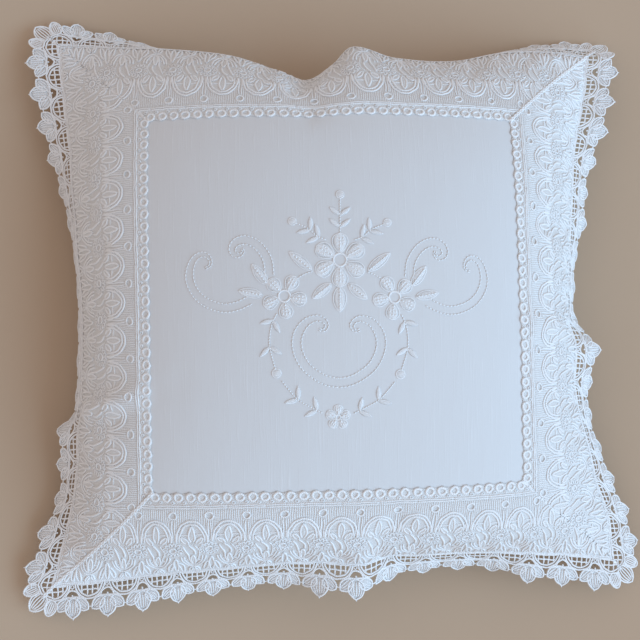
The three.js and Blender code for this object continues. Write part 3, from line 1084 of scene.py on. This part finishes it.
def add_veined_leaf(parts, base, tip, half):
    base, tip = np.array(base, float), np.array(tip, float)
    add_satin(parts, base, tip, half, rise=0.4)
    sew_outline(parts, petal(base, tip, half), EDGE_WIDTH)
    vein = [base + share * (tip - base) for share in VEIN_SPAN]
    add_row(parts, vein, *VEIN_STITCH, VEIN_LIFT)


def add_scroll(parts, points, spacing):
    """Two rows of back stitch that run side by side and close up where the scroll curls."""
    line = resampled(flowing(points), step=1.0)
    way = unit(np.gradient(line, axis=0))
    beside = np.stack([-way[:, 1], way[:, 0]], -1)
    t = np.linspace(0, 1, len(line))[:, None]
    half = spacing / 2 * np.clip((1 - t) / SCROLL_LAST, SCROLL_STOP, 1) ** SCROLL_POWER
    for side in (-1, 1):
        add_row(parts, line + beside * half * side)


def make_embroidery():
    parts = Parts()
    for flower in FLOWERS:
        add_flower(parts, *flower)
    add_veined_leaf(parts, *MIDDLE_LEAF)
    add_sprig(parts, *MIDDLE_SPRIG)
    for flip in (1, -1):
        turn = np.array([flip, 1.0])
        for base, tip, half in VEINED_LEAVES:
            add_veined_leaf(parts, base * turn, tip * turn, half)
        for spacing, points in SCROLLS:
            add_scroll(parts, np.array(points) * turn, spacing)
        for points, places, leaf, bud in SPRIGS:
            add_sprig(parts, np.array(points) * turn, places, leaf, bud)
        add_row(parts, flowing(np.array(FLOWER_STEM) * turn), *STEM_STITCH)
    parts.build("embroidery", EMBROIDERY, "linen")


class Fabric:
    """A cloth material with even values, and short ways to add and join its nodes."""

    def __init__(self, name, colour, roughness=0.9, sheen=0.25):
        self.material = bpy.data.materials.new(name)
        self.material.use_nodes = True
        self.tree = self.material.node_tree
        self.shader = self.tree.nodes["Principled BSDF"]
        self.set("Base Color", (*colour, 1))
        self.set("Roughness", roughness)
        self.set("Sheen Weight", sheen)
        self.set("Sheen Roughness", 0.5)

    def set(self, socket, value):
        self.shader.inputs[socket].default_value = value

    def add(self, kind, inputs=(), **settings):
        node = self.tree.nodes.new(kind)
        for name, value in settings.items():
            setattr(node, name, value)
        for socket, value in dict(inputs).items():
            if isinstance(value, bpy.types.NodeSocket):
                self.tree.links.new(value, node.inputs[socket])
            else:
                node.inputs[socket].default_value = value
        return node

    def math(self, operation, first, second=0.0, third=0.0):
        inputs = {0: first, 1: second, 2: third}
        return self.add("ShaderNodeMath", inputs, operation=operation).outputs[0]

    def blend(self, *terms):
        """The sum of some values, each times its weight."""
        total = 0.0
        for value, weight in terms:
            total = self.math("MULTIPLY_ADD", value, weight, total)
        return total

    def wave(self, value, pitch):
        """A sine of a length in millimetres."""
        return self.math("SINE", self.math("MULTIPLY", value, 2 * math.pi / pitch))

    def noise(self, vector, scale):
        scaled = self.add("ShaderNodeVectorMath", {0: vector, 1: scale}, operation="MULTIPLY").outputs[0]
        inputs = {"Vector": scaled, "Scale": 1.0, "Detail": 2.0}
        return self.add("ShaderNodeTexNoise", inputs).outputs["Fac"]

    def peaks(self, value, floor, gain):
        """What of a value rises over a floor."""
        over = self.math("MAXIMUM", self.math("SUBTRACT", value, floor), 0.0)
        return self.math("MULTIPLY", over, gain)

    def mark(self):
        """The place of each vertex on the flat cloth, or along and round its thread."""
        vector = self.add("ShaderNodeAttribute", attribute_name="mark").outputs["Vector"]
        return vector, self.add("ShaderNodeSeparateXYZ", {0: vector}).outputs

    def tint(self, share, dark, light):
        """Colours the cloth between two shades."""
        ramp = self.add("ShaderNodeValToRGB", {0: share})
        for element, place, shade in zip(ramp.color_ramp.elements, (0.3, 0.7), (dark, light)):
            element.position = place
            element.color = (*shade, 1)
        self.tree.links.new(ramp.outputs[0], self.shader.inputs["Base Color"])

    def bump(self, height, strength, depth):
        """Raises the cloth by a height, times a depth in millimetres."""
        bump = self.add("ShaderNodeBump", {"Height": height, "Strength": strength, "Distance": depth * MM})
        self.tree.links.new(bump.outputs[0], self.shader.inputs["Normal"])


def linen_material():
    linen = Fabric("linen", (0.83, 0.83, 0.83))
    vector, (across, along, _) = linen.mark()
    weave = linen.math("MULTIPLY", linen.wave(across, pitch=0.8), linen.wave(along, pitch=0.8))
    slubs = linen.peaks(linen.noise(vector, (0.8, 0.03, 1.0)), floor=0.54, gain=3.5)
    ticks = linen.noise(vector, (0.06, 0.9, 1.0))
    uneven = linen.noise(vector, (0.05, 0.02, 1.0))
    height = linen.blend((weave, 0.25), (slubs, 0.6), (ticks, 0.3), (uneven, 3.0))
    linen.tint(slubs, (0.733, 0.733, 0.733), (0.765, 0.765, 0.765))
    linen.bump(height, strength=0.5, depth=0.25)
    return linen.material


def lace_material():
    lace = Fabric("lace_ground", (0.8, 0.79, 0.77))
    vector, (across, along, _) = lace.mark()
    net = lace.math("MULTIPLY", lace.wave(across, pitch=1.7), lace.wave(along, pitch=1.7))
    cloudy = lace.noise(vector, (0.9, 0.9, 1.0))
    height = lace.blend((net, 0.5), (cloudy, 1.0))
    lace.tint(cloudy, (0.74, 0.73, 0.715), (0.815, 0.805, 0.79))
    lace.bump(height, strength=0.6, depth=0.5)
    return lace.material


def thread_material(name, shades, roughness, pitch):
    """Twisted thread: a slanting ridge that winds round each tube."""
    thread = Fabric(name, shades[1], roughness)
    vector, (run, around, _) = thread.mark()
    twist = thread.wave(thread.blend((run, 1.0), (around, pitch)), pitch)
    fuzz = thread.noise(vector, (1.3, 2.0, 1.0))
    height = thread.blend((twist, 0.5), (fuzz, 1.0))
    thread.tint(fuzz, *shades)
    thread.bump(height, strength=0.5, depth=0.3)
    return thread.material


LINEN = linen_material()
LACE = lace_material()
CORD_SHADES = ((0.89, 0.885, 0.88), (0.95, 0.945, 0.94))
LACE_CORD = thread_material("lace_cord", CORD_SHADES, roughness=0.75, pitch=1.3)
THREAD_SHADES = ((0.9, 0.9, 0.9), (0.95, 0.95, 0.95))
EMBROIDERY = thread_material("embroidery_thread", THREAD_SHADES, roughness=0.5, pitch=0.9)

make_cover()
for strip_name in SIDES:
    strip_ground, strip_cords = make_strip(strip_name)
make_mitres()
make_embroidery()

# The camera stands a metre off, nearly straight above, a little to the left and below the middle.
CAMERA_DISTANCE = 1.0
CAMERA_LEAN = (math.sin(math.radians(-3)), -math.sin(math.radians(5)))
CAMERA_ROLL = math.radians(1.4)
CAMERA_AIM = Vector((-0.0107, -0.0121, 0.080))
CAMERA_LENS = 83.8

# The window is one far wide light, with a heading from the right and a height over the floor.
WINDOW_HEADING = math.radians(-29)
WINDOW_HEIGHT = math.radians(23.5)
WINDOW_WIDTH = math.radians(70)
WINDOW_STRENGTH = 3.0
WINDOW_COLOUR = (0.40, 0.695, 1.0)
# The room lights the shaded side.
ROOM_STRENGTH = 0.57
ROOM_COLOUR = (1.0, 0.925, 0.925)
FLOOR_HALF = 12.0
FLOOR_COLOUR = (0.56, 0.42, 0.30)


def add_camera():
    towards = Vector((*CAMERA_LEAN, math.sqrt(1 - CAMERA_LEAN[0] ** 2 - CAMERA_LEAN[1] ** 2)))
    right = Vector((0, 1, 0)).cross(towards).normalized()
    up = towards.cross(right)
    camera = new_object("camera", bpy.data.cameras.new("camera"))
    camera.data.lens = CAMERA_LENS
    place = Matrix.Translation(CAMERA_AIM + towards * CAMERA_DISTANCE)
    turned = Matrix((right, up, towards)).transposed().to_4x4()
    camera.matrix_world = place @ turned @ Matrix.Rotation(-CAMERA_ROLL, 4, "Z")
    bpy.context.scene.camera = camera


def add_window():
    level = math.cos(WINDOW_HEIGHT)
    across, up = math.cos(WINDOW_HEADING) * level, math.sin(WINDOW_HEADING) * level
    towards = Vector((across, up, math.sin(WINDOW_HEIGHT)))
    light = bpy.data.lights.new("window", "SUN")
    light.angle = WINDOW_WIDTH
    light.energy = WINDOW_STRENGTH
    light.color = WINDOW_COLOUR
    new_object("window", light).rotation_euler = towards.to_track_quat("Z", "Y").to_euler()


def add_room_light():
    world = bpy.data.worlds.new("studio")
    world.use_nodes = True
    background = world.node_tree.nodes["Background"]
    background.inputs["Color"].default_value = (*ROOM_COLOUR, 1)
    background.inputs["Strength"].default_value = ROOM_STRENGTH
    bpy.context.scene.world = world


def add_floor():
    mesh = bpy.data.meshes.new("floor")
    corners = [(-1, -1), (1, -1), (1, 1), (-1, 1)]
    mesh.from_pydata([(x * FLOOR_HALF, y * FLOOR_HALF, 0) for x, y in corners], [], [(0, 1, 2, 3)])
    matt = Fabric("floor", FLOOR_COLOUR, roughness=1.0, sheen=0.0)
    matt.set("Specular IOR Level", 0.0)
    mesh.materials.append(matt.material)
    floor = new_object("floor", mesh)


add_floor()
add_window()
add_room_light()
bpy.context.scene.view_settings.view_transform = "Standard"
add_camera()
